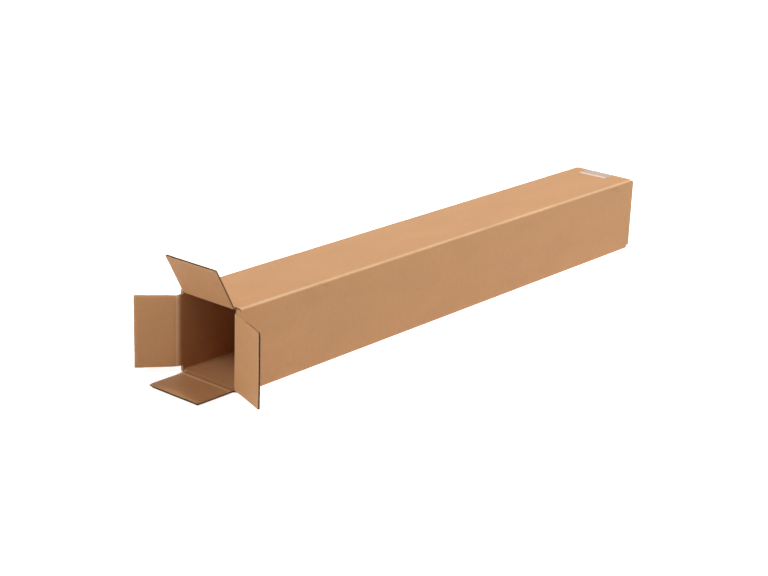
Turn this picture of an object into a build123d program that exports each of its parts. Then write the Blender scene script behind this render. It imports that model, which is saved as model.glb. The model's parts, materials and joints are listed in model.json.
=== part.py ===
"""Long corrugated carton lying on one of its long sides. One end stands open with its four flaps spread,
and the other is folded shut under a strip of clear tape.

Millimetres. +Y runs from the open end to the closed end, +Z is up, and the origin is the middle of the
underside. The left and right flaps are the outer pair, which close over the top and bottom pair. The bottom
flap goes beneath the top one, and the right flap lies over the left one."""

import os
from math import acos, atan2, ceil, cos, degrees, hypot, pi, radians, sin, tan

from build123d import *

# Outside of the folded carton
WIDTH = 110.0
HEIGHT = 116.0
LENGTH = 914.0

# Corrugated board: two liners with a fluted sheet between them, the flutes running along the carton
BOARD = 4.0
LINER = 0.35
FLUTED_SHEET = 0.3
FLUTE_PITCH = 7.8
FLANK_ANGLE = 50.0
FOLD_RADIUS = 3.0
INSIDE_RADIUS = 1.0

# Score lines, pressed into the inside of the board where a flap turns. The flutes are crushed beside them.
SCORE_FLAT = 2.3
SCORE_WEB = 1.2
SCORE_SLOPE = 60.0
SCORE_RADIUS = 1.0
HINGE_GAP = 0.4
CRUSHED = 1.6

# Slots between the flaps, from the carton's corners. The ones beside the left and right flap are cut askew
# at the open end, so these flaps have other insets at their roots and tips. The closed end's are narrower.
OUTER_INSET = 8.0
INNER_INSET = 9.0
LEFT_LOWER_ROOT = 10.0
RIGHT_LOWER_ROOT = 7.0
RIGHT_LOWER_TIP = 4.6
RIGHT_UPPER_ROOT = 4.6
RIGHT_UPPER_TIP = 9.0
SHUT_OUTER_INSET = 4.2
SHUT_INNER_INSET = 5.6
SLOT_OVERRUN = 2.0
SLOT_RADIUS = 1.5

# How far the open flaps reach past the opening's middle, and the fit of the closed ones
INNER_OVERLAP = 6.0
LEFT_OVERLAP = 1.0
RIGHT_OVERLAP = 9.0
SEAM = 0.8
LAYER_GAP = 0.3

# Glued lap inside the right wall
LAP_WIDTH = 35.0
LAP_SETBACK = 9.0
LAP_BEVEL = 5.0
LAP_GROOVE = 2.5

# Clear tape over the outer flaps' seam
TAPE_WIDTH = 50.0
TAPE_THICKNESS = 0.08
TAPE_SHIFT = -6.0
TAPE_TAIL = 32.0
TAPE_LIFT = 0.02
TAPE_MARGIN = 0.3
TOOTH_PITCH = 1.6
TOOTH_DEPTH = 0.9

# How far each flap is spread, in degrees from straight out along the carton
TOP_ANGLE = 62.0
BOTTOM_ANGLE = 0.0
LEFT_ANGLE = 44.0
RIGHT_ANGLE = 73.0

# Beyond a surface, so that a cut goes clean through it, and the tolerance for picking an edge by its place
OVER = 1.5
NEAR = 0.01

OPEN_END = -LENGTH / 2
SHUT_END = LENGTH / 2
INNER_SCORE = OPEN_END + BOARD + LAYER_GAP
INNER_FOLD = SHUT_END - BOARD
MIDDLE = HEIGHT / 2
SPREAD_ANGLES = {
    "flap_top": TOP_ANGLE,
    "flap_bottom": BOTTOM_ANGLE,
    "flap_left": LEFT_ANGLE,
    "flap_right": RIGHT_ANGLE,
}
SCORE_TANGENT = SCORE_RADIUS * tan(radians(SCORE_SLOPE) / 2)
SCORE_HALF_WIDTH = SCORE_FLAT + 2 * SCORE_TANGENT + (BOARD - SCORE_WEB) / tan(radians(SCORE_SLOPE))


def side_plane(hinge, along, inside):
    """The plane across a hinge line, with x along the board and y from its outer to its inner face."""
    return Plane(origin=hinge, x_dir=along, z_dir=along.cross(inside))


def score_profile():
    """Half of a score line's valley, from the hinge edge on the outer face up to the full board."""
    mitre = Line((HINGE_GAP / 2, 0), (HINGE_GAP / 2 + SCORE_WEB, SCORE_WEB))
    FilletPolyline(
        mitre @ 1,
        (SCORE_FLAT + SCORE_TANGENT, SCORE_WEB),
        (SCORE_HALF_WIDTH - SCORE_TANGENT, BOARD),
        (SCORE_HALF_WIDTH + OVER, BOARD),
        radius=SCORE_RADIUS,
    )


def wall_scores():
    """Each wall's score line: its middle, the way inside, the way across the wall, and half its span."""
    across, up = WIDTH / 2, HEIGHT / 2
    right, top = Vector(1, 0, 0), Vector(0, 0, 1)
    return {
        "flap_top": (Vector(0, INNER_SCORE, HEIGHT), -top, right, across),
        "flap_bottom": (Vector(0, INNER_SCORE, 0), top, right, across),
        "flap_left": (Vector(-across, OPEN_END, MIDDLE), right, top, up),
        "flap_right": (Vector(across, OPEN_END, MIDDLE), -right, top, up),
    }


def flap_outlines():
    """Each flap's length, then its low and high side at its root and at its tip, from the wall's middle."""
    across, up = WIDTH / 2, HEIGHT / 2
    inner = (INNER_INSET - across, across - INNER_INSET)
    left_root = (LEFT_LOWER_ROOT - up, up - OUTER_INSET)
    left_tip = (OUTER_INSET - up, up - OUTER_INSET)
    right_root = (RIGHT_LOWER_ROOT - up, up - RIGHT_UPPER_ROOT)
    right_tip = (RIGHT_LOWER_TIP - up, up - RIGHT_UPPER_TIP)
    return {
        "flap_top": (up + INNER_OVERLAP, inner, inner),
        "flap_bottom": (up + INNER_OVERLAP, inner, inner),
        "flap_left": (across + LEFT_OVERLAP, left_root, left_tip),
        "flap_right": (across + RIGHT_OVERLAP, right_root, right_tip),
    }


def slot_mouths(centre, half_span, open_root, shut_inset):
    """Rounded slots at both ends of a wall, drawn with x along the carton and y across the wall."""
    beyond = 2 * BOARD + SLOT_RADIUS
    open_stop = INNER_SCORE + SLOT_OVERRUN
    shut_stop = INNER_FOLD - FOLD_RADIUS * pi / 4 - SLOT_OVERRUN
    shut_root = (shut_inset - half_span, half_span - shut_inset)
    ends = ((OPEN_END - beyond, open_stop, open_root), (shut_stop, SHUT_END + beyond, shut_root))
    for start, stop, (low, high) in ends:
        for near, far in ((-half_span - beyond, low), (high, half_span + beyond)):
            with Locations(((start + stop) / 2, centre + (near + far) / 2)):
                RectangleRounded(stop - start, far - near, SLOT_RADIUS)


def fold_edges(part, axis, y, across, reach):
    """Edges along an axis that lie at one place along the carton and at one distance from its middle."""
    return part.edges().filter_by(axis).filter_by(
        lambda e: abs(e.center().Y - y) < NEAR and abs(abs(across(e.center())) - reach) < NEAR
    )


def make_carton():
    """The sleeve, its glued lap and its closed end, one folded sheet of board."""
    with BuildPart() as carton:
        # Sleeve. The lower right corner is where the wall's cut edge covers the folded lap.
        with BuildSketch(Plane(origin=(0, SHUT_END, 0), x_dir=(1, 0, 0), z_dir=(0, -1, 0))):
            with Locations((0, MIDDLE)):
                RectangleRounded(WIDTH, HEIGHT, FOLD_RADIUS)
            with Locations((WIDTH / 2, 0)):
                Rectangle(BOARD, BOARD, align=(Align.MAX, Align.MIN))
            with BuildLine():
                corner = (WIDTH / 2 - BOARD, 0)
                Polyline(corner, (corner[0], LAP_GROOVE), (corner[0] - LAP_GROOVE, 0), close=True)
            make_face(mode=Mode.SUBTRACT)
        extrude(amount=LENGTH)

        # Hollow, which leaves the two layers of closed flaps at the far end
        inside_end = SHUT_END - 2 * BOARD
        with BuildSketch(Plane(origin=(0, inside_end, 0), x_dir=(1, 0, 0), z_dir=(0, -1, 0))):
            with Locations((0, MIDDLE)):
                RectangleRounded(WIDTH - 2 * BOARD, HEIGHT - 2 * BOARD, INSIDE_RADIUS)
        extrude(amount=LENGTH, mode=Mode.SUBTRACT)

        # Slots in the side walls, then in the top and bottom
        roots = {name: root for name, (_, root, _) in flap_outlines().items()}
        for side, root in ((-1, roots["flap_left"]), (1, roots["flap_right"])):
            with BuildSketch(Plane.YZ.offset(side * (WIDTH / 2 - BOARD / 2))):
                slot_mouths(MIDDLE, HEIGHT / 2, root, SHUT_OUTER_INSET)
            extrude(amount=BOARD / 2 + OVER, both=True, mode=Mode.SUBTRACT)
        for level, root in ((BOARD / 2, roots["flap_bottom"]), (HEIGHT - BOARD / 2, roots["flap_top"])):
            with BuildSketch(Plane(origin=(0, 0, level), x_dir=(0, 1, 0), z_dir=(0, 0, 1))):
                slot_mouths(0, WIDTH / 2, root, SHUT_INNER_INSET)
            extrude(amount=BOARD / 2, both=True, mode=Mode.SUBTRACT)

        # Closed end: the outer pair stops short of the top and bottom, the inner pair of the sides
        for level, align in ((0, Align.MIN), (HEIGHT, Align.MAX)):
            with Locations((0, INNER_FOLD, level)):
                Box(
                    WIDTH + 2 * OVER,
                    BOARD + OVER,
                    SHUT_OUTER_INSET,
                    align=(Align.CENTER, Align.MIN, align),
                    mode=Mode.SUBTRACT,
                )
        for side, align in ((-1, Align.MIN), (1, Align.MAX)):
            with Locations((side * (WIDTH / 2 - BOARD), inside_end, MIDDLE)):
                Box(
                    SHUT_INNER_INSET - BOARD,
                    BOARD,
                    HEIGHT - 2 * BOARD,
                    align=(align, Align.MIN, Align.CENTER),
                    mode=Mode.SUBTRACT,
                )
        with Locations((0, SHUT_END - BOARD / 2, MIDDLE)):
            Box(SEAM, BOARD, HEIGHT, mode=Mode.SUBTRACT)
        with Locations((0, SHUT_END - 3 * BOARD / 2, MIDDLE)):
            Box(WIDTH - 2 * BOARD, BOARD, SEAM, mode=Mode.SUBTRACT)
        outer_folds = fold_edges(carton, Axis.Z, SHUT_END, lambda c: c.X, WIDTH / 2)
        inner_folds = fold_edges(carton, Axis.X, INNER_FOLD, lambda c: c.Z - MIDDLE, HEIGHT / 2)
        fillet(outer_folds + inner_folds, FOLD_RADIUS)

        # Lap: the bottom panel's edge turned up and glued inside the right wall
        with BuildSketch(Plane.YZ.offset(WIDTH / 2 - BOARD)):
            with BuildLine():
                near, far = OPEN_END + LAP_SETBACK, inside_end - LAP_SETBACK
                Polyline(
                    (near, BOARD / 2),
                    (far, BOARD / 2),
                    (far - LAP_BEVEL, BOARD + LAP_WIDTH),
                    (near + LAP_BEVEL, BOARD + LAP_WIDTH),
                    close=True,
                )
            make_face()
        extrude(amount=-BOARD)

        # Score lines at the open end, with the top and bottom pair a board's thickness further in
        for hinge, inside, _, half_span in wall_scores().values():
            with BuildSketch(side_plane(hinge, Vector(0, 1, 0), inside)):
                with BuildLine():
                    score_profile()
                    start = HINGE_GAP / 2
                    beyond = -(BOARD + LAYER_GAP + OVER)
                    Polyline(
                        (SCORE_HALF_WIDTH + OVER, BOARD),
                        (SCORE_HALF_WIDTH + OVER, BOARD + OVER),
                        (beyond, BOARD + OVER),
                        (beyond, -OVER),
                        (start - OVER, -OVER),
                        (start, 0),
                    )
                make_face()
            extrude(amount=half_span - BOARD, both=True, mode=Mode.SUBTRACT)

        # Bed of the tape's lower tail, pressed into the underside so that the carton lies flat
        with Locations((TAPE_SHIFT, INNER_FOLD, 0)):
            Box(
                TAPE_WIDTH + 2 * TAPE_MARGIN,
                2 * (TAPE_TAIL + TAPE_MARGIN),
                2 * (TAPE_THICKNESS + 2 * TAPE_LIFT),
                mode=Mode.SUBTRACT,
            )
    return carton.part


def flute_outline(x, upwards):
    """Outline of an air channel between a liner and the fluted sheet: a triangle with a round top."""
    flank = radians(FLANK_ANGLE)
    rise = BOARD / 2 - LINER
    half_sheet = FLUTED_SHEET / 2 / sin(flank)
    foot = FLUTE_PITCH / 4 + rise / tan(flank) - half_sheet
    apex = (FLUTE_PITCH / 4 - half_sheet) * tan(flank)
    crest = rise - FLUTED_SHEET
    radius = (apex - crest) / (1 / cos(flank) - 1)
    centre = crest - radius
    turn = 1 if upwards else -1

    def at(across, height):
        return (x + across, BOARD / 2 + turn * height)

    shoulder = (radius * sin(flank), centre + radius * cos(flank))
    Polyline(at(-shoulder[0], shoulder[1]), at(-foot, -rise), at(foot, -rise), at(*shoulder))
    ThreePointArc(at(-shoulder[0], shoulder[1]), at(0, crest), at(*shoulder))


def make_flap(name):
    """One hinged flap: scored root, fluted board, and channels that open at its free and side edges."""
    hinge, wall_inside, across, half_span = wall_scores()[name]
    length, root_sides, tip_sides = flap_outlines()[name]
    spread = radians(SPREAD_ANGLES[name])
    straight = Vector(0, -1, 0)
    along = straight * cos(spread) - wall_inside * sin(spread)
    inside = straight * sin(spread) + wall_inside * cos(spread)
    past_tip = 1 + OVER / length
    far_sides = [root + (tip - root) * past_tip for root, tip in zip(root_sides, tip_sides)]

    # The flutes are counted from the low side's root, as far as the wall reaches both ways
    end_plane = Plane(origin=hinge + along * length, x_dir=along.cross(inside), z_dir=-along)
    towards_high = across.dot(end_plane.x_dir)
    spacing = FLUTE_PITCH / 2
    below = ceil((half_span + root_sides[0]) / spacing)
    above = ceil((half_span - root_sides[0]) / spacing)

    with BuildPart() as flap:
        with BuildSketch(side_plane(hinge, along, inside)):
            with BuildLine():
                score_profile()
                root, top = (HINGE_GAP / 2, 0), (SCORE_HALF_WIDTH + OVER, BOARD)
                Polyline(top, (length, BOARD), (length, 0), root)
            make_face()
        extrude(amount=half_span, both=True)
        with BuildSketch(Plane(origin=hinge, x_dir=across, z_dir=across.cross(along))):
            with BuildLine():
                Polyline(
                    (root_sides[0], 0),
                    (far_sides[0], length + OVER),
                    (far_sides[1], length + OVER),
                    (root_sides[1], 0),
                    close=True,
                )
            make_face()
        extrude(amount=BOARD + OVER, both=True, mode=Mode.INTERSECT)
        with BuildSketch(end_plane):
            for i in range(-below, above + 1):
                with BuildLine():
                    flute_outline(towards_high * (root_sides[0] + i * spacing), upwards=i % 2 == 0)
                make_face()
        extrude(amount=length - SCORE_HALF_WIDTH - CRUSHED, mode=Mode.SUBTRACT)
    return flap.part


def tape_line():
    """The line down the tape's middle thickness, from its top tail over the closed end to its lower tail."""
    offset = TAPE_LIFT + TAPE_THICKNESS / 2
    radius = FOLD_RADIUS + offset
    tail = INNER_FOLD - TAPE_TAIL
    bend = INNER_FOLD - FOLD_RADIUS
    high, low = HEIGHT - FOLD_RADIUS, FOLD_RADIUS
    face = SHUT_END + offset
    rise = high - (HEIGHT - SHUT_OUTER_INSET)
    run = face - bend
    leave = degrees(atan2(-rise, run) + acos(radius / hypot(run, rise)))
    meet = degrees(acos((FOLD_RADIUS - offset) / radius))

    top = Line((tail, HEIGHT + offset), (bend, HEIGHT + offset))
    over = CenterArc((bend, high), radius, 90, leave - 90)
    down = Line(over @ 1, (face, HEIGHT - SHUT_OUTER_INSET))
    front = Line(down @ 1, (face, SHUT_OUTER_INSET))
    under = CenterArc((bend, low), radius, -leave, leave - 90 + meet)
    Line(front @ 1, under @ 0)
    Line(under @ 1, (tail, offset))
    return top


def make_tape():
    """Clear tape over the closed end's seam, with ends torn off on a toothed cutter."""
    with BuildPart() as tape:
        with BuildSketch(Plane.YZ.offset(TAPE_SHIFT)):
            with BuildLine():
                tape_line()
            trace(line_width=TAPE_THICKNESS)
        extrude(amount=TAPE_WIDTH / 2, both=True)
        with BuildSketch():
            with BuildLine():
                tail = INNER_FOLD - TAPE_TAIL
                left = TAPE_SHIFT - TAPE_WIDTH / 2
                teeth = round(TAPE_WIDTH / TOOTH_PITCH)
                pitch = TAPE_WIDTH / teeth
                tips = [(left + i * pitch / 2, tail + i % 2 * TOOTH_DEPTH) for i in range(-1, 2 * teeth + 2)]
                Polyline(*tips, (tips[-1][0], tail - OVER), (tips[0][0], tail - OVER), close=True)
            make_face()
        extrude(amount=HEIGHT + OVER, mode=Mode.SUBTRACT)
    return tape.part


def main():
    os.makedirs("parts", exist_ok=True)
    pieces = {"carton": make_carton(), "closing_tape": make_tape()}
    for name in wall_scores():
        pieces[name] = make_flap(name)
    for name, piece in pieces.items():
        piece.label = name
        export_step(piece, f"parts/{name}.step")


main()
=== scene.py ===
"""Looks of the long corrugated carton: board with its flutes and creases, clear tape, light and camera.

The frame is in metres. Sizes of the board are in millimetres and turned into metres where a mesh is made."""

import json
from math import cos, hypot, pi, radians, sin

import bmesh
import bpy
import numpy as np
from mathutils import Matrix, Vector, noise


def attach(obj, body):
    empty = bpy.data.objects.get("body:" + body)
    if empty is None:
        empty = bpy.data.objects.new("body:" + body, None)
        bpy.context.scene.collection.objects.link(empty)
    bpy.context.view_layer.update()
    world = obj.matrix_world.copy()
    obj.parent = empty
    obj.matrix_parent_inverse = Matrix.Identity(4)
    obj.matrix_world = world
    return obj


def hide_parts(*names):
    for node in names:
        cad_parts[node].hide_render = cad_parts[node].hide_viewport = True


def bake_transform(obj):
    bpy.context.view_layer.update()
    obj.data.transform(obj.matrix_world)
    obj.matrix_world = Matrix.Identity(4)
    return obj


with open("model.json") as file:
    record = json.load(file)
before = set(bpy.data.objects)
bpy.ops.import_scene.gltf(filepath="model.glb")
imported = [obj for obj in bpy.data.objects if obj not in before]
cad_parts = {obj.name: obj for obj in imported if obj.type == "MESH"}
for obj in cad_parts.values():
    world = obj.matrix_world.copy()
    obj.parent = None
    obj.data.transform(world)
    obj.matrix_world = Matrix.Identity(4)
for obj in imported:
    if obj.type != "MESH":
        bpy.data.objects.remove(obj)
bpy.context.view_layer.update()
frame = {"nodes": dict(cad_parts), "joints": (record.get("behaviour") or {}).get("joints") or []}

MM = 0.001

# Carton, in millimetres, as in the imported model
WIDTH = 110.0
HEIGHT = 116.0
LENGTH = 914.0
BOARD = 4.0
LINER = 0.35
FLUTED_SHEET = 0.3
FLUTE_PITCH = 7.8
FLUTE_SWING = BOARD / 2 - LINER - FLUTED_SHEET / 2
FLUTE_ROUND = 0.22
FOLD_RADIUS = 3.0
OPEN_END = -LENGTH / 2
SHUT_END = LENGTH / 2

# Score bands between the sleeve and its flaps: half the width of the band and of its valley's floor, and how
# far the flap's piece reaches in under the wall
BAND = 5.1
VALLEY_FLOOR = 1.0
ROOT = 5.9

# The flap's piece beside the solids: its lift off their outer face along the score, with its half width and
# fade, and how deep its two faces tuck into the wall, with where each starts and how the outer one fades
SKIN_LIFT = 0.03
LIFT_HALF = 2.4
LIFT_FADE = 0.6
TUCK = 0.15
OUTER_TUCK_START = 1.9
OUTER_TUCK_FADE = 0.7
INNER_TUCK_START = 0.3

# Where the slots beside the flaps end, measured from their fold, the distances past that between which the
# top and bottom flap's piece widens to the whole wall, and half that wall. Then the fade of what is done to
# cut edges, and how much further away the sides count past the slots, where nothing is cut
SLOT_STOP = -2.0
SLOT_STEP = (1.4, 0.2)
WALL_CLEAR = 51.0
SLOT_FADE = 3.0
BEYOND_SLOT = 20.0

# The knife pinches the board at each flap's tip, this far in from every cut, and with wear this much at most
TIP_PINCH = 0.34
PINCH_REACH = 3.5
MOST_PINCH = 0.8

# Cut edges of the flaps: how far they lie back from the solid's, how far and in what runs their line
# wanders, and how much further back the fluted sheet ends
CUT_BACK = 0.12
CUT_WANDER = 0.2
SIDE_WANDER_RUN = 8.0
TIP_WANDER_RUN = 9.0
FLUTED_BACK = 0.25

# Pale fibres at the cuts, and a painted highlight with some pale pressed liner on the inner liner along a
# score: how strong, how far, and how they fade
FRAY = 0.7
FRAY_REACH = 1.3
SCORE_HIGHLIGHT_HALF = 3.4
SCORE_HIGHLIGHT_FADE = 2.2

# Each flap: its spread from straight out, its low and high side at the root and at the tip from the wall's
# middle, its length, how far it bows towards its inner face, how deep its score line is pressed and how high
# the bead beside it stands, where and how strongly a painted highlight, with some pale pressed liner,
# lightens the inner liner by its score, how flat the knife pinched its sides, and how much board is left
# standing at its upper corner
FLAPS = {
    "flap_top": dict(
        spread=62.0, across=(1, 0, 0), outward=(0, 0, 1), root=(-46.0, 46.0), tip=(-46.0, 46.0), length=64.0,
        bow=0.7, groove=1.0, bead=0.0, score_highlight=(0.0, 0.7), pinch=0.46, ear=0.0,
    ),
    "flap_bottom": dict(
        spread=0.0, across=(1, 0, 0), outward=(0, 0, -1), root=(-46.0, 46.0), tip=(-46.0, 46.0), length=64.0,
        bow=0.3, groove=0.5, bead=0.7, score_highlight=(6.4, 1.2), pinch=0.46, ear=0.0,
    ),
    "flap_left": dict(
        spread=44.0, across=(0, 0, 1), outward=(-1, 0, 0), root=(-48.0, 50.0), tip=(-50.0, 50.0), length=56.0,
        bow=-0.6, groove=0.9, bead=0.0, score_highlight=(0.0, 1.1), pinch=0.15, ear=0.0,
    ),
    "flap_right": dict(
        spread=73.0, across=(0, 0, 1), outward=(1, 0, 0), root=(-51.0, 53.4), tip=(-53.4, 49.0), length=64.0,
        bow=0.9, groove=1.0, bead=0.0, score_highlight=(0.0, 0.9), pinch=0.46, ear=3.3,
    ),
}

# Seeds of the flaps' bows and cuts: the first flap's, the step to the next, and what is added for the inner
# liner, the fluted sheet and the sides
FIRST_SEED = 1.3
SEED_STEP = 2.9
INNER_SEED = 1.7
FLUTED_SEED = 4.2
SIDE_SEED = 3.1

# A bow is a little deeper on one side: by this share, over this wave
BOW_SHARE = 0.25
BOW_WAVE = 4.4

# Board left standing at a corner where the knife stopped, measured from the fold
EAR_STOP = 2.5
EAR_FADE = 4.0

# Middle and half width of the bead beside a score line
BEAD_PLACE = 6.6
BEAD_REACH = 3.4

# Wear that the photograph shows on the right flap: a nick in its upper side, whose floor is level over a part
# of its length, that side pressed shut from the fold to there, and a rounded corner
NICK_PLACE = 31.0
NICK_LENGTH = 3.4
NICK_DEPTH = 1.5
NICK_FLOOR = 1.5
NICK_SLOPE = 3.0
CLOSED_PINCH = 0.5
CLOSED_REACH = 6.0
CLOSED_RISE = 5.0
CLOSED_FADE = 3.0
CORNER_CUT = 2.2
CORNER_REACH = 2.4

# And on the bottom flap: a crushed left tip
CRUSH_REACH = 10.0
CRUSH_CUT = 1.3
CRUSH_PINCH = 0.6

# Fineness of the meshes: points along a flap's band, its middle and its tip, pieces of a flute across each
# liner and the fluted sheet, the sleeve's steps along, across and up, the angles in degrees above which edges
# stay sharp, and the distance in metres within which points are one
BAND_POINTS, MIDDLE_POINTS, TIP_POINTS = 17, 22, 4
LINER_STEPS, FLUTE_STEPS = 6, 14
STEP_ALONG, STEP_ACROSS, STEP_UP = 10.0, 9.0, 9.0
FLAP_SHARP, SLEEVE_SHARP = 40, 32
WELD = 1e-6

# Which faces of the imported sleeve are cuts: the reach of each end's slots and notches, the depth down to
# which a face is the outer liner's, how clear of the corners the closed end's seam lies, the tolerance in
# depth, and the place on the flutes' wave for cuts that run along it
OPEN_CUTS = 8.0
SHUT_CUTS = 9.0
OUTER_DEPTH = 0.9
SEAM_CLEAR = 3.2
CLOSE = 0.1
CUT_RUN = 2.0

# Wear along the long folds, with a painted highlight that makes the upper folds paler: how far past their
# radius it reaches, how it fades, how strong and patchy it is, the patches' sizes along and across, and its
# share on the folds that the carton lies on
WEAR_HIGHLIGHT_REACH = 0.8
WEAR_HIGHLIGHT_START = 1.25
WEAR_HIGHLIGHT_LEVEL = 1.1
WEAR_HIGHLIGHT_PATCHES = 0.5
PATCH_ALONG = 38.0
PATCH_ACROSS = 50.0
LOWER_FOLD_HIGHLIGHT = 0.15
EDGE_SLACK = 0.01

# Walls swell a little between their folds: how far, in what runs along and across, how much of each end is
# held true and how that fades, and how near a wall's inner face a point still counts as the wall's
SWELL = 0.7
SWELL_ALONG = 130.0
SWELL_ACROSS = 70.0
HOLD_OPEN = 8.0
HOLD_SHUT = 12.0
HOLD_FADE = 60.0
WALL_SLACK = 0.5

# Folds wander inwards: how far, in what runs along and up, how far from a fold, and the share downwards
WANDER = 0.35
WANDER_ALONG = 34.0
WANDER_UP = 40.0
WANDER_REACH = 14.0
WANDER_DROP = 0.8

# A shallow dent in the side wall under the near top edge
DENT = (55.0, -20.0, 105.0)
DENT_DEPTH = 0.9
DENT_REACH = (24.0, 11.0)

# Camera, fitted to the edges in the photograph, and how far it sees
LENS = 80.49
SENSOR = 36.0
CAMERA = (1.4921, -1.8928, 0.8459)
AZIMUTH, PITCH, ROLL = 39.871, 18.931, 2.078
VIEW_REACH = 60.0

# Lamps: place, size and power, and the point that all of them face
LAMPS = {
    "key": ((1.7, 1.2, 3.0), (1.2, 1.2), 113),
    "front": ((-0.35, -3.6, 0.3), (0.7, 0.4), 34),
    "overhead": ((0.1, -2.0, 2.5), (0.9, 0.9), 21),
    "left": ((-2.2, -2.6, 1.4), (1.2, 1.2), 9),
    "back": ((-2.4, 2.4, 0.1), (1.4, 0.2), 30),
}
LAMPS_AIM = (0, 0, 0.05)

# The world's strength, the share of light that the floor sends back up, and its glow for the camera, which
# rises to plain white between these distances, where the lamps no longer reach. Then half its size, and how
# far it lies under the carton
WORLD_LIGHT = 0.035
FLOOR_BOUNCE = 0.55
FLOOR_GLOW = 0.8
FLOOR_NEAR = 1.2
FLOOR_FAR = 3.0
FLOOR_REACH = 14.0
FLOOR_DROP = 0.0004

# Paper colours, linear
OUTER_KRAFT = (0.628, 0.326, 0.139)
INNER_KRAFT = (0.592, 0.304, 0.129)
REDDER = (1.02, 0.965, 0.93)
# Pale kraft for wear, also used to paint highlights on the upper folds and along the scores
WORN_HIGHLIT_KRAFT = (0.780, 0.490, 0.270)
CUT_PAPER = (0.50, 0.335, 0.215)
# Painted shade for the dark channels between the flutes in a cut
FLUTE_SHADE = (0.085, 0.046, 0.026)

# Noise in the paper, on the flat sheet in millimetres
CLOUDS = dict(stretch=(1.0, 0.45, 1.0), scale=0.022, detail=3.0)
MOTTLE = dict(stretch=(0.7, 1.0, 1.0), scale=0.16, detail=4.0, roughness=0.6)
FIBRES = dict(stretch=(0.35, 2.6, 1.0), scale=1.1, detail=4.0, roughness=0.65)
SPECKS = dict(stretch=(0.8, 1.5, 1.0), scale=0.9, detail=2.0)
FUZZ = dict(scale=1.6, detail=3.0, roughness=0.7)

# What the noise does to the paper's lightness. A pair is the noise's reach about 0.5 and its effect each way,
# and four values are the range taken and the range given
CLOUD_SHADE = (0.2, 0.035)
MOTTLE_SHADE = (0.25, 0.045)
FIBRE_SHADE = (0.25, 0.07)
SPECK_SHADE = (0.70, 0.78, 0.0, 0.22)
# The flutes' ripple under the liner, painted as shade into the lightness
RIPPLE_SHADE = 0.004
FUZZ_SHADE = (0.3, 0.7, 0.78, 1.12)

# To its colour, wear with a painted highlight, and gloss
RED_SHARE = (0.35, 0.65, 0.0, 1.0)
WORN_HIGHLIT_SHARE = (0.3, 0.6, 0.45, 1.0)
ROUGHNESS = (0.3, 0.7, 0.52, 0.68)
GLOSS = 0.45
SHEEN = 0.06
CUT_ROUGHNESS = 0.9
CUT_GLOSS = 0.1

# And to its surface, in millimetres
RIPPLE_HEIGHT = 0.005
MOTTLE_HEIGHT = (0.3, 0.05)
FIBRE_HEIGHT = (0.3, 0.012)

# Soft borders of the fluted sheet and the liners where the sleeve's board is cut, in millimetres
SHEET_BORDER = (0.20, 0.45)
LINER_BORDER = (0.12, 0.05)

# Faint dark streaks on the side wall: the two near the shut end are painted shade of small creases there, and
# the third is a dark mark. Place across and along the flat sheet, reach each way, and depth. The core is
# even, and the paper's fibres break them up
MARKS = (
    ((117.0, 401.0), (2.6, 15.0), 0.20),
    ((122.5, 410.0), (2.2, 9.0), 0.16),
    ((116.5, -292.0), (2.8, 6.0), 0.16),
)
MARK_CORE = 0.2
MARK_GRIT = (0.35, 0.6, 0.3, 1.0)

# Clear tape, linear: its colours where it is stuck down and where it is lifted a little at the start of each
# tail, where that is in metres along the carton and how ragged, how much it covers, its fine lines and gloss
FILM = (0.72, 0.54, 0.42)
LIFTED_FILM = (1.0, 0.66, 0.45)
TAPE_START = 0.421
TAPE_LIFTED = 0.012
RAGGED = (0.2, 0.12)
LIFTED_FROM = 0.35
FILM_COVER = (0.3, 0.7, 0.66, 0.78)
LIFTED_COVER = 0.22
FILM_LINES = dict(stretch=(60.0, 900.0, 60.0), scale=1.0, detail=2.0)
FILM_ROUGHNESS = 0.16
FILM_GLOSS = 0.5
FILM_BUMP = 0.25
FILM_HEIGHT = 0.0001


# Materials

def node(tree, kind, inputs=None, **values):
    """A shader node with its settings and its inputs, each a value or another node's output."""
    made = tree.nodes.new(kind)
    for key, value in values.items():
        setattr(made, key, value)
    for key, value in (inputs or {}).items():
        if isinstance(value, bpy.types.NodeSocket):
            tree.links.new(value, made.inputs[key])
        else:
            made.inputs[key].default_value = value
    return made


def math(tree, operation, *terms):
    """The output of a Math node."""
    return node(tree, "ShaderNodeMath", dict(enumerate(terms)), operation=operation).outputs[0]


def vector(tree, operation, *terms):
    """The output of a Vector Math node."""
    return node(tree, "ShaderNodeVectorMath", dict(enumerate(terms)), operation=operation).outputs[0]


def length_of(tree, value):
    """The length of a vector."""
    return node(tree, "ShaderNodeVectorMath", {0: value}, operation="LENGTH").outputs["Value"]


def shaded(tree, colour, light):
    """A colour times a lightness."""
    return node(tree, "ShaderNodeVectorMath", {0: colour, "Scale": light}, operation="SCALE").outputs[0]


def mixed(tree, share, low, high):
    """A colour between two, each a value or another node's output."""
    ends = [end if isinstance(end, bpy.types.NodeSocket) else end + (1,) for end in (low, high)]
    return node(tree, "ShaderNodeMix", {"Factor": share, 6: ends[0], 7: ends[1]}, data_type="RGBA").outputs[2]


def grain(tree, place, scale, detail, roughness=0.5, stretch=(1.0, 1.0, 1.0)):
    """A noise value about 0.5."""
    look = {"Vector": vector(tree, "MULTIPLY", place, stretch)}
    look |= {"Scale": scale, "Detail": detail, "Roughness": roughness}
    return node(tree, "ShaderNodeTexNoise", look).outputs[0]


def spread_of(tree, value, low, high, to_low, to_high):
    """A value taken from one range to another, held at the ends."""
    ends = {"From Min": low, "From Max": high, "To Min": to_low, "To Max": to_high}
    return node(tree, "ShaderNodeMapRange", {"Value": value} | ends).outputs[0]


def swing_of(tree, value, reach, amount):
    """A value within a reach of 0.5, taken to one within an amount of 0."""
    return spread_of(tree, value, 0.5 - reach, 0.5 + reach, -amount, amount)


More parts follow.
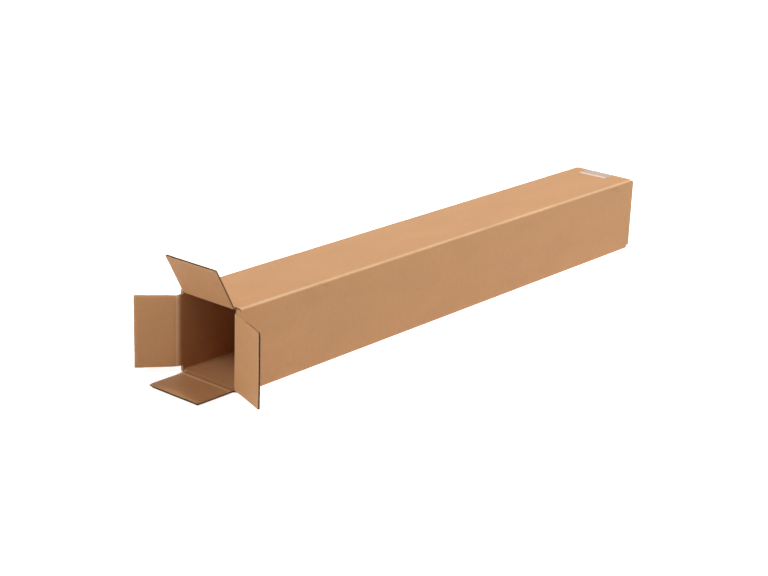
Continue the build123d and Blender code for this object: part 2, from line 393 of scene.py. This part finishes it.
def sheet_place(tree):
    """The place on the flat sheet in millimetres: across the flutes, and along them."""
    uv = node(tree, "ShaderNodeUVMap", uv_map="sheet").outputs["UV"]
    return vector(tree, "MULTIPLY", uv, (1 / MM, 1 / MM, 0.0))


def new_material(name):
    """A material, its node tree and its shader."""
    made = bpy.data.materials.new(name)
    made.use_nodes = True
    tree = made.node_tree
    return made, tree, tree.nodes["Principled BSDF"]


def dark_streak(tree, place, grit, centre, reach, depth):
    """How much darker the paper is in one of the dark streaks, on the flat sheet."""
    off = vector(tree, "SUBTRACT", place, centre + (0.0,))
    far = length_of(tree, vector(tree, "MULTIPLY", off, (1 / reach[0], 1 / reach[1], 1.0)))
    dark = spread_of(tree, far, MARK_CORE, 1.0, depth, 0.0)
    return math(tree, "MULTIPLY", dark, spread_of(tree, grit, *MARK_GRIT))


def kraft(name, colour, marks=()):
    """Kraft liner: cloudy brown with long fibres across the flutes, specks, the flutes' faint ripple painted
    as shade and raised as a bump, and paler where the mesh marks wear and painted highlight.
    """
    made, tree, shader = new_material(name)
    place = sheet_place(tree)
    clouds, mottle, fibres, specks = [grain(tree, place, **look) for look in (CLOUDS, MOTTLE, FIBRES, SPECKS)]
    across = node(tree, "ShaderNodeSeparateXYZ", {0: place}).outputs[0]
    wave = math(tree, "SINE", math(tree, "MULTIPLY", across, 2 * pi / FLUTE_PITCH))

    light = 1.0
    for value, shade in ((clouds, CLOUD_SHADE), (mottle, MOTTLE_SHADE), (fibres, FIBRE_SHADE)):
        light = math(tree, "ADD", swing_of(tree, value, *shade), light)
    light = math(tree, "SUBTRACT", light, spread_of(tree, specks, *SPECK_SHADE))
    # The flutes' ripple, painted into the lightness as shade
    light = math(tree, "ADD", light, math(tree, "MULTIPLY", wave, RIPPLE_SHADE))
    # Dark streaks: two are painted shade of small creases near the shut end, one is a dark mark
    for centre, reach, depth in marks:
        light = math(tree, "SUBTRACT", light, dark_streak(tree, place, fibres, centre, reach, depth))

    redder = tuple(part * share for part, share in zip(colour, REDDER))
    paper = mixed(tree, spread_of(tree, mottle, *RED_SHARE), colour, redder)
    # Paler paper where the mesh says: wear at the cuts and folds, and painted highlight on the upper folds
    # and scores
    worn_and_highlit = node(tree, "ShaderNodeAttribute", attribute_name="wear_and_highlight").outputs["Fac"]
    worn_and_highlit = math(tree, "MULTIPLY", worn_and_highlit, spread_of(tree, fibres, *WORN_HIGHLIT_SHARE))
    paper = mixed(tree, worn_and_highlit, paper, WORN_HIGHLIT_KRAFT)
    tree.links.new(shaded(tree, paper, light), shader.inputs["Base Color"])
    tree.links.new(spread_of(tree, fibres, *ROUGHNESS), shader.inputs["Roughness"])
    shader.inputs["Specular IOR Level"].default_value = GLOSS
    shader.inputs["Sheen Weight"].default_value = SHEEN

    height = math(tree, "MULTIPLY", wave, RIPPLE_HEIGHT)
    height = math(tree, "ADD", height, swing_of(tree, mottle, *MOTTLE_HEIGHT))
    height = math(tree, "ADD", height, swing_of(tree, fibres, *FIBRE_HEIGHT))
    bump = node(tree, "ShaderNodeBump", {"Height": height, "Strength": 1.0, "Distance": MM})
    tree.links.new(bump.outputs[0], shader.inputs["Normal"])
    return made


def cut_paper(name):
    """The fuzzy cut edge of a single paper sheet."""
    made, tree, shader = new_material(name)
    light = spread_of(tree, grain(tree, sheet_place(tree), **FUZZ), *FUZZ_SHADE)
    tree.links.new(shaded(tree, CUT_PAPER, light), shader.inputs["Base Color"])
    shader.inputs["Roughness"].default_value = CUT_ROUGHNESS
    shader.inputs["Specular IOR Level"].default_value = CUT_GLOSS
    return made


def cut_board(name):
    """A cut through the whole board: two liners and the fluted sheet between them, over channels in painted
    shade.

    The flat place holds, across, the place along the cut and, along, the depth below the outer face."""
    made, tree, shader = new_material(name)
    parts = node(tree, "ShaderNodeSeparateXYZ", {0: sheet_place(tree)})
    run, depth = parts.outputs[0], parts.outputs[1]
    swing = math(tree, "SINE", math(tree, "MULTIPLY", run, 2 * pi / FLUTE_PITCH))
    centre = math(tree, "ADD", math(tree, "MULTIPLY", swing, FLUTE_SWING), BOARD / 2)
    off_sheet = math(tree, "ABSOLUTE", math(tree, "SUBTRACT", depth, centre))
    off_middle = math(tree, "ABSOLUTE", math(tree, "SUBTRACT", depth, BOARD / 2))
    inside = BOARD / 2 - LINER
    on_sheet = spread_of(tree, off_sheet, *SHEET_BORDER, 1.0, 0.0)
    on_liner = spread_of(tree, off_middle, inside - LINER_BORDER[0], inside + LINER_BORDER[1], 0.0, 1.0)
    paper = math(tree, "MAXIMUM", on_sheet, on_liner)
    tree.links.new(mixed(tree, paper, FLUTE_SHADE, CUT_PAPER), shader.inputs["Base Color"])
    shader.inputs["Roughness"].default_value = CUT_ROUGHNESS
    shader.inputs["Specular IOR Level"].default_value = CUT_GLOSS
    return made


def tape_film():
    """Clear packing tape, a little milky, with fine lines across its length and paler where it is lifted."""
    made, tree, shader = new_material("clear_film")
    spot = node(tree, "ShaderNodeTexCoord").outputs["Object"]
    lines = grain(tree, spot, **FILM_LINES)
    place = node(tree, "ShaderNodeSeparateXYZ", {0: spot}).outputs[1]
    near = spread_of(tree, place, TAPE_START, TAPE_START + TAPE_LIFTED, 1.0, 0.0)
    lifted = math(tree, "GREATER_THAN", math(tree, "ADD", near, swing_of(tree, lines, *RAGGED)), LIFTED_FROM)
    tree.links.new(mixed(tree, lifted, FILM, LIFTED_FILM), shader.inputs["Base Color"])
    shader.inputs["Roughness"].default_value = FILM_ROUGHNESS
    shader.inputs["Specular IOR Level"].default_value = FILM_GLOSS
    more = math(tree, "MULTIPLY", lifted, LIFTED_COVER)
    cover = math(tree, "ADD", spread_of(tree, lines, *FILM_COVER), more)
    tree.links.new(cover, shader.inputs["Alpha"])
    bump = node(tree, "ShaderNodeBump", {"Height": lines, "Strength": FILM_BUMP, "Distance": FILM_HEIGHT})
    tree.links.new(bump.outputs[0], shader.inputs["Normal"])
    return made


def seen_by_camera(tree):
    """1 for what the camera sees, itself or in gloss and through clear film, and 0 for light on its way."""
    path = node(tree, "ShaderNodeLightPath")
    seen = math(tree, "MAXIMUM", path.outputs["Is Camera Ray"], path.outputs["Is Glossy Ray"])
    return math(tree, "MAXIMUM", seen, path.outputs["Is Transmission Ray"])


def pale_stage(name):
    """White floor for the camera and in gloss, with a soft shadow, and a duller one for the light that it
    sends back up."""
    made = bpy.data.materials.new(name)
    made.use_nodes = True
    tree = made.node_tree
    tree.nodes.clear()
    seen = seen_by_camera(tree)
    colour = mixed(tree, seen, (FLOOR_BOUNCE,) * 3, (1, 1, 1))
    diffuse = node(tree, "ShaderNodeBsdfDiffuse", {"Color": colour})
    far = length_of(tree, node(tree, "ShaderNodeNewGeometry").outputs["Position"])
    level = spread_of(tree, far, FLOOR_NEAR, FLOOR_FAR, FLOOR_GLOW, 1.0)
    glow = node(tree, "ShaderNodeEmission", {"Strength": math(tree, "MULTIPLY", seen, level)})
    both = node(tree, "ShaderNodeAddShader", {0: diffuse.outputs[0], 1: glow.outputs[0]})
    out = node(tree, "ShaderNodeOutputMaterial")
    tree.links.new(both.outputs[0], out.inputs[0])
    return made


# The flaps' board

def smooth(t):
    """A step from 0 to 1 with level ends."""
    t = np.clip(t, 0.0, 1.0)
    return t * t * (3 - 2 * t)


def rough_line(values, seed, run):
    """Seeded noise along a line, for a cut that isn't quite straight."""
    found = np.array([noise.noise(Vector((v / run, seed, 0.37))) for v in np.ravel(values)])
    return found.reshape(np.shape(values)) * CUT_WANDER


def flute(a):
    """The fluted sheet's wave, from -1 to 1, with rounded crests and straighter flanks."""
    wave = np.sin(2 * pi * a / FLUTE_PITCH)
    return wave * (1 + FLUTE_ROUND - FLUTE_ROUND * wave * wave)


def add_slab(rows, low, high, flat, wear_and_highlight, face_index, edge_index):
    """A closed slab between two grids of points, added to the lists of points, wear and painted highlight,
    faces, UVs and kinds.
    """
    verts, worn_and_highlit, faces, uvs, kinds = rows
    na, nv = low.shape[:2]
    base = sum(len(v) for v in verts)
    verts += [low.reshape(-1, 3), high.reshape(-1, 3)]
    worn_and_highlit += [wear_and_highlight.ravel(), wear_and_highlight.ravel()]
    place = np.concatenate([flat.reshape(-1, 2)] * 2)

    def index(i, j, top):
        return base + top * na * nv + i * nv + j

    def face(corners, kind):
        faces.append(corners)
        uvs.extend(place[c - base] for c in corners)
        kinds.append(kind)

    for i in range(na - 1):
        for j in range(nv - 1):
            square = [(i, j), (i + 1, j), (i + 1, j + 1), (i, j + 1)]
            face([index(a, b, 1) for a, b in square], face_index)
            face([index(a, b, 0) for a, b in reversed(square)], face_index)
    rim = [(i, 0) for i in range(na)] + [(na - 1, j) for j in range(1, nv)]
    rim += [(i, nv - 1) for i in range(na - 2, -1, -1)] + [(0, j) for j in range(nv - 2, 0, -1)]
    for (a, b), (c, d) in zip(rim, rim[1:] + rim[:1]):
        face([index(a, b, 0), index(c, d, 0), index(c, d, 1), index(a, b, 1)], edge_index)


def finish_object(name, mesh, wear_and_highlight, materials, sharp):
    """The object made of a mesh, with its wear and painted highlight, materials and smooth faces."""
    mesh.attributes.new("wear_and_highlight", "FLOAT", "POINT").data.foreach_set("value", wear_and_highlight)
    for material in materials:
        mesh.materials.append(material)
    mesh.shade_smooth()
    mesh.set_sharp_from_angle(angle=radians(sharp))
    made = bpy.data.objects.new(name, mesh)
    bpy.context.scene.collection.objects.link(made)
    return made


def slab_mesh(name, rows):
    """The mesh made of the lists of slabs, with its UV map."""
    verts, _, faces, uvs, kinds = rows
    mesh = bpy.data.meshes.new(name)
    mesh.from_pydata((np.concatenate(verts) * MM).tolist(), [], faces)
    layer = mesh.uv_layers.new(name="sheet")
    layer.data.foreach_set("uv", (np.array(uvs, np.float32) * MM).ravel())
    mesh.polygons.foreach_set("material_index", kinds)
    mesh.update()
    repair = bmesh.new()
    repair.from_mesh(mesh)
    bmesh.ops.recalc_face_normals(repair, faces=repair.faces)
    repair.to_mesh(mesh)
    repair.free()
    return mesh


def flap_sides(size, v):
    """A flap's low and high side at a distance from its fold. Beyond its slots the whole wall goes on."""
    places = [SLOT_STOP - SLOT_STEP[0], SLOT_STOP - SLOT_STEP[1], 0.0, size["length"]]
    upright = size["across"][2] == 1
    low, high = (
        np.interp(v, places, [root if upright else clear, root, root, tip])
        for root, tip, clear in zip(size["root"], size["tip"], (-WALL_CLEAR, WALL_CLEAR))
    )
    return low, high + size["ear"] * smooth((EAR_STOP - v) / EAR_FADE)


def flap_wear(name, size, a, v):
    """What handling did to one flap: how far its high side and its tip are cut back, and its extra pinch."""
    low, high = flap_sides(size, v)
    cut_side, cut_tip, pinch = 0 * v, 0 * v, 0 * v
    if name == "flap_right":
        cut_side = NICK_DEPTH * smooth(NICK_FLOOR - np.abs(v - NICK_PLACE) * NICK_SLOPE / NICK_LENGTH)
        pinch = CLOSED_PINCH * smooth((NICK_PLACE - v) / CLOSED_FADE)
        pinch = pinch * smooth((CLOSED_REACH - (high - a)) / CLOSED_RISE)
        cut_tip = CORNER_CUT * smooth((CORNER_REACH - (high - a)) / CORNER_REACH) ** 2
    if name == "flap_bottom":
        near = smooth(1 - np.hypot(a - low, v - size["length"]) / CRUSH_REACH)
        cut_tip, pinch = CRUSH_CUT * near, CRUSH_PINCH * near
    return cut_side, cut_tip, pinch


def flap_board(name, seed):
    """One flap with its score band: two liners and the fluted sheet, bent from the wall to its spread."""
    size = FLAPS[name]
    hinge = np.array(next(j["pos_m"] for j in frame["joints"] if j["child"] == name)) / MM
    across, outward = np.array(size["across"], float), np.array(size["outward"], float)
    straight = np.array([0.0, -1.0, 0.0])
    spread, length = radians(size["spread"]), size["length"]

    def edge_distances(a, v):
        """How far a point lies from the nearest cut side and from the tip."""
        low, high = flap_sides(size, v)
        side = np.minimum(a - low, high - a) + BEYOND_SLOT * (v < SLOT_STOP)
        return np.clip(side, 0, None), np.clip(length - v, 0, None)

    def put(a, v, h):
        """Points of the board from their flat place, with h their height in it before it is pressed."""
        band = smooth((BAND - np.abs(v)) / (BAND - VALLEY_FLOOR))
        dive = TUCK * smooth((-v - BAND + INNER_TUCK_START) / (ROOT - BAND))
        bead = size["bead"] * smooth(1 - np.abs(v - BEAD_PLACE) / BEAD_REACH)
        thick = BOARD - size["groove"] * band - dive + bead
        skin = -SKIN_LIFT * smooth((LIFT_HALF - np.abs(v)) / LIFT_FADE)
        skin = skin + TUCK * smooth((-v - OUTER_TUCK_START) / OUTER_TUCK_FADE)
        height = np.where(h < BOARD / 2, skin, 0.0) * (1 - h / BOARD) + h * thick / BOARD
        to_side, to_tip = edge_distances(a, v)
        at_side = size["pinch"] * smooth(1 - to_side / PINCH_REACH)
        at_tip = TIP_PINCH * smooth(1 - to_tip / PINCH_REACH)
        pinch = np.maximum(at_side, at_tip) + flap_wear(name, size, a, v)[2]
        height = height + (thick / 2 - height) * np.clip(pinch, 0, MOST_PINCH)
        bowed = np.clip(v - BAND, 0, None) / length
        centre = a / (size["root"][1] - size["root"][0])
        height = height + size["bow"] * bowed**2 * (1 + BOW_SHARE * np.cos(BOW_WAVE * centre + seed))
        turn = spread * smooth((v + BAND) / (2 * BAND))
        along = v * np.cos(turn) + height * np.sin(turn)
        out = v * np.sin(turn) - height * np.cos(turn)
        return hinge + a[..., None] * across + along[..., None] * straight + out[..., None] * outward

    def grid(step, trim, line_seed):
        """Flat places on one sheet, with its edges cut back a little unevenly and where they are worn."""
        count = int(round((size["root"][1] - size["root"][0]) / step)) + 1
        band = np.linspace(-ROOT, BAND, BAND_POINTS)
        middle = np.linspace(BAND, length - PINCH_REACH, MIDDLE_POINTS)[1:]
        tip = np.linspace(length - PINCH_REACH, length, TIP_POINTS)[1:]
        share, v = np.meshgrid(np.linspace(0, 1, count), np.concatenate([band, middle, tip]), indexing="ij")
        low, high = flap_sides(size, v)
        cut_side = flap_wear(name, size, low + (high - low) * share, v)[0]
        free = smooth((v - SLOT_STOP) / SLOT_FADE)
        back = CUT_BACK + rough_line(v, line_seed + SIDE_SEED, SIDE_WANDER_RUN) + trim
        low, high = low + back * free, high - back * free - cut_side
        a = low + (high - low) * share
        past = smooth((v - BAND) / (length - BAND))
        cut_tip = flap_wear(name, size, a, v)[1]
        v = v - past * (CUT_BACK + trim + rough_line(a, line_seed, TIP_WANDER_RUN) + cut_tip)
        return a, v

    rows = ([], [], [], [], [])
    fluted_place = BOARD / 2 - FLUTED_SHEET / 2
    for line_seed, height, thick, steps, trim, face_index in (
        (seed, 0.0, LINER, LINER_STEPS, 0.0, 0),
        (seed + INNER_SEED, BOARD - LINER, LINER, LINER_STEPS, 0.0, 1),
        (seed + FLUTED_SEED, fluted_place, FLUTED_SHEET, FLUTE_STEPS, FLUTED_BACK, 2),
    ):
        a, v = grid(FLUTE_PITCH / steps, trim, line_seed)
        wave = FLUTE_SWING * flute(a + seed) if face_index == 2 else 0 * v
        frayed = FRAY * smooth(1 - np.minimum(*edge_distances(a, v)) / FRAY_REACH)
        # The inner liner along the score gets a painted highlight, with some pale pressed liner
        score_highlight_place, score_highlight = size["score_highlight"]
        worn_highlight_band = score_highlight * smooth((SCORE_HIGHLIGHT_HALF - np.abs(v - score_highlight_place)) / SCORE_HIGHLIGHT_FADE) if face_index == 1 else 0 * v
        low, high = put(a, v, wave + height), put(a, v, wave + height + thick)
        add_slab(rows, low, high, np.stack([a, v], -1), np.maximum(frayed, worn_highlight_band), face_index, 2)
    name_board = name + "_board"
    worn_and_highlit = np.concatenate(rows[1]).astype(np.float32)
    made = finish_object(name_board, slab_mesh(name_board, rows), worn_and_highlit, (OUTER, INNER, PAPER), FLAP_SHARP)
    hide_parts(name)
    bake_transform(made)


# The sleeve's board

def cut_lines(low, high, step, extra=()):
    """Places of the cuts that divide a span into even steps, with some more."""
    count = max(1, int(round((high - low) / step)))
    return sorted(set([low + (high - low) * i / count for i in range(1, count)] + list(extra)))


def carton_board():
    """The sleeve and closed end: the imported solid, divided finely, slightly uneven as board is."""
    source = frame["nodes"]["carton"]
    work = bmesh.new()
    work.from_mesh(source.data)
    bmesh.ops.remove_doubles(work, verts=work.verts, dist=WELD)
    edge = FOLD_RADIUS + WEAR_HIGHLIGHT_REACH
    cuts = [
        ((0, 1, 0), cut_lines(OPEN_END, SHUT_END, STEP_ALONG)),
        ((1, 0, 0), cut_lines(-WIDTH / 2, WIDTH / 2, STEP_ACROSS, (edge - WIDTH / 2, WIDTH / 2 - edge))),
        ((0, 0, 1), cut_lines(0, HEIGHT, STEP_UP, (edge, HEIGHT - edge))),
    ]
    for normal, places in cuts:
        for place in places:
            geometry = work.verts[:] + work.edges[:] + work.faces[:]
            bmesh.ops.bisect_plane(
                work, geom=geometry, dist=WELD, plane_co=Vector(normal) * place * MM, plane_no=normal
            )
    layer = work.loops.layers.uv.new("sheet")
    for face in work.faces:
        kind, flat = sheet_face(face.calc_center_median() / MM, face.normal)
        face.material_index = kind
        for loop in face.loops:
            loop[layer].uv = Vector(flat(loop.vert.co / MM)) * MM
    # Pale wear along the long folds, with a painted highlight on the upper ones
    worn_and_highlit = [fold_wear_and_highlight(vert.co / MM) for vert in work.verts]
    for vert in work.verts:
        vert.co += uneven(vert.co / MM) * MM
    mesh = bpy.data.meshes.new("carton_board")
    work.to_mesh(mesh)
    work.free()
    made = finish_object("carton_board", mesh, worn_and_highlit, (OUTER, INNER, BOARD_CUT, PAPER), SLEEVE_SHARP)
    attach(made, "carton")
    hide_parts("carton")


def sheet_face(centre, normal):
    """Whether a face is outer liner (0), inner liner (1), a cut through the flutes (2) or, at the open end's
    slots, one that the knife pinched shut (3), and how its points lie on the flat sheet."""
    x, y, z = centre
    side, level, end = abs(normal.x), abs(normal.z), abs(normal.y)
    depth_x, depth_z, depth_y = WIDTH / 2 - abs(x), min(z, HEIGHT - z), SHUT_END - y
    in_side, in_level = depth_x < BOARD - CLOSE, depth_z < BOARD - CLOSE
    near_end = y < OPEN_END + OPEN_CUTS or y > SHUT_END - SHUT_CUTS
    before_end = y < SHUT_END - BOARD - CLOSE
    cut = 3 if y < 0 else 2
    if in_side and near_end and not in_level and side < 0.5 and before_end:
        return cut, lambda p: (p.z if end > 0.5 else CUT_RUN, WIDTH / 2 - abs(p.x))
    if in_level and near_end and not in_side and level < 0.5 and before_end:
        return cut, lambda p: (p.x if end > 0.5 else CUT_RUN, min(p.z, HEIGHT - p.z))
    if CLOSE < depth_y < BOARD - CLOSE and end < 0.5 and min(depth_x, depth_z) > SEAM_CLEAR:
        return 2, lambda p: (CUT_RUN, SHUT_END - p.y)
    on_lap = BOARD + CLOSE < depth_x < 2 * BOARD - CLOSE and x > 0 and depth_z > BOARD
    if on_lap and side < 0.5 and y < SHUT_END - SHUT_CUTS:
        return 2, lambda p: (p.z if end > 0.5 else CUT_RUN, WIDTH / 2 - p.x - BOARD)
    kind = 0 if min(depth_x, depth_z, depth_y) < OUTER_DEPTH else 1
    if end > max(side, level):
        return kind, lambda p: (p.z, p.x)
    if side > level and x > 0:
        return kind, lambda p: (WIDTH + HEIGHT - p.z, p.y)
    if side > level:
        return kind, lambda p: (2 * WIDTH + HEIGHT + p.z, p.y)
    if z > HEIGHT / 2:
        return kind, lambda p: (WIDTH / 2 + p.x, p.y)
    return kind, lambda p: (WIDTH * 1.5 + HEIGHT - p.x, p.y)


def fold_wear_and_highlight(p):
    """How pale the outer liner is along the long folds: worn in patches, with a painted highlight, more on
    top.
    """
    x, y, z = p
    side, level = WIDTH / 2 - abs(x), min(z, HEIGHT - z)
    if max(side, level) > FOLD_RADIUS + WEAR_HIGHLIGHT_REACH - EDGE_SLACK or min(side, level) > FOLD_RADIUS / 2:
        return 0.0
    worn_highlight_band = smooth(WEAR_HIGHLIGHT_START - max(side, level) / (FOLD_RADIUS + WEAR_HIGHLIGHT_REACH / 2))
    spot = Vector((y / PATCH_ALONG, x / PATCH_ACROSS, z / PATCH_ACROSS + 2.2))
    patchy = WEAR_HIGHLIGHT_LEVEL + WEAR_HIGHLIGHT_PATCHES * noise.noise(spot)
    return worn_highlight_band * patchy * (1.0 if z > HEIGHT / 2 else LOWER_FOLD_HIGHLIGHT)


def uneven(p):
    """How far a point of the sleeve lies off true: walls that bow a little, and one small dent by an edge."""
    x, y, z = p
    hold = smooth((y - OPEN_END - HOLD_OPEN) / HOLD_FADE) * smooth((SHUT_END - HOLD_SHUT - y) / HOLD_FADE)
    span_x, span_z = cos(pi * x / WIDTH), sin(pi * z / HEIGHT)
    swell_x = noise.noise(Vector((y / SWELL_ALONG, z / SWELL_ACROSS, 3.3 if x > 0 else 8.1))) * SWELL
    swell_z = noise.noise(Vector((y / SWELL_ALONG, x / SWELL_ACROSS, 5.7))) * SWELL
    off = Vector((0, 0, 0))
    if abs(x) > WIDTH / 2 - 2 * BOARD - WALL_SLACK:
        off.x += swell_x * span_z * hold
    if z > HEIGHT - BOARD - WALL_SLACK:
        off.z += swell_z * span_x * hold
    corner = smooth(1 - max(WIDTH / 2 - abs(x), min(z, HEIGHT - z)) / WANDER_REACH)
    spot = Vector((y / WANDER_ALONG, 4.0 if x > 0 else 9.0, z / WANDER_UP))
    wander = noise.noise(spot) * WANDER * corner * hold
    off.x -= abs(wander) if x > 0 else -abs(wander)
    if z > HEIGHT / 2:
        off.z -= abs(wander) * WANDER_DROP
    if x > WIDTH / 2 - BOARD - WALL_SLACK:
        far = hypot((y - DENT[1]) / DENT_REACH[0], (z - DENT[2]) / DENT_REACH[1])
        off.x -= DENT_DEPTH * smooth(1 - far)
    return off


# Light, floor and camera

def area_light(name, place, size, power):
    """A white rectangular lamp that points at the carton."""
    data = bpy.data.lights.new(name, "AREA")
    data.shape = "RECTANGLE"
    data.size, data.size_y = size
    data.energy = power
    made = bpy.data.objects.new(name, data)
    made.location = place
    made.rotation_euler = (Vector(LAMPS_AIM) - Vector(place)).to_track_quat("-Z", "Y").to_euler()
    bpy.context.scene.collection.objects.link(made)


def stage():
    """The white floor and world."""
    floor = bpy.data.meshes.new("floor")
    corners = [(-FLOOR_REACH, -FLOOR_REACH, 0), (FLOOR_REACH, -FLOOR_REACH, 0)]
    corners += [(FLOOR_REACH, FLOOR_REACH, 0), (-FLOOR_REACH, FLOOR_REACH, 0)]
    floor.from_pydata(corners, [], [(0, 1, 2, 3)])
    made = bpy.data.objects.new("floor", floor)
    made.location.z = -FLOOR_DROP
    floor.materials.append(pale_stage("pale_floor"))
    bpy.context.scene.collection.objects.link(made)

    world = bpy.data.worlds.new("studio")
    bpy.context.scene.world = world
    world.use_nodes = True
    tree = world.node_tree
    tree.nodes.clear()
    strength = spread_of(tree, seen_by_camera(tree), 0.0, 1.0, WORLD_LIGHT, 1.0)
    glow = node(tree, "ShaderNodeBackground", {"Color": (1, 1, 1, 1), "Strength": strength})
    out = node(tree, "ShaderNodeOutputWorld")
    tree.links.new(glow.outputs[0], out.inputs[0])


def camera():
    """The photograph's camera."""
    data = bpy.data.cameras.new("camera")
    data.lens = LENS
    data.sensor_width = SENSOR
    data.clip_end = VIEW_REACH
    made = bpy.data.objects.new("camera", data)
    turn = Matrix.Rotation(radians(AZIMUTH), 4, "Z") @ Matrix.Rotation(radians(90 - PITCH), 4, "X")
    made.matrix_world = Matrix.Translation(CAMERA) @ turn @ Matrix.Rotation(radians(ROLL), 4, "Z")
    bpy.context.scene.collection.objects.link(made)
    bpy.context.scene.camera = made


OUTER = kraft("kraft_outer", OUTER_KRAFT, MARKS)
INNER = kraft("kraft_inner", INNER_KRAFT)
PAPER = cut_paper("cut_paper")
BOARD_CUT = cut_board("cut_board")

carton_board()
for number, flap_name in enumerate(FLAPS):
    flap_board(flap_name, FIRST_SEED + SEED_STEP * number)

tape = frame["nodes"]["closing_tape"]
tape.data.materials.clear()
tape.data.materials.append(tape_film())

stage()
for lamp_name, (lamp_place, lamp_size, power) in LAMPS.items():
    area_light(lamp_name, lamp_place, lamp_size, power)
camera()
bpy.context.scene.view_settings.view_transform = "Standard"
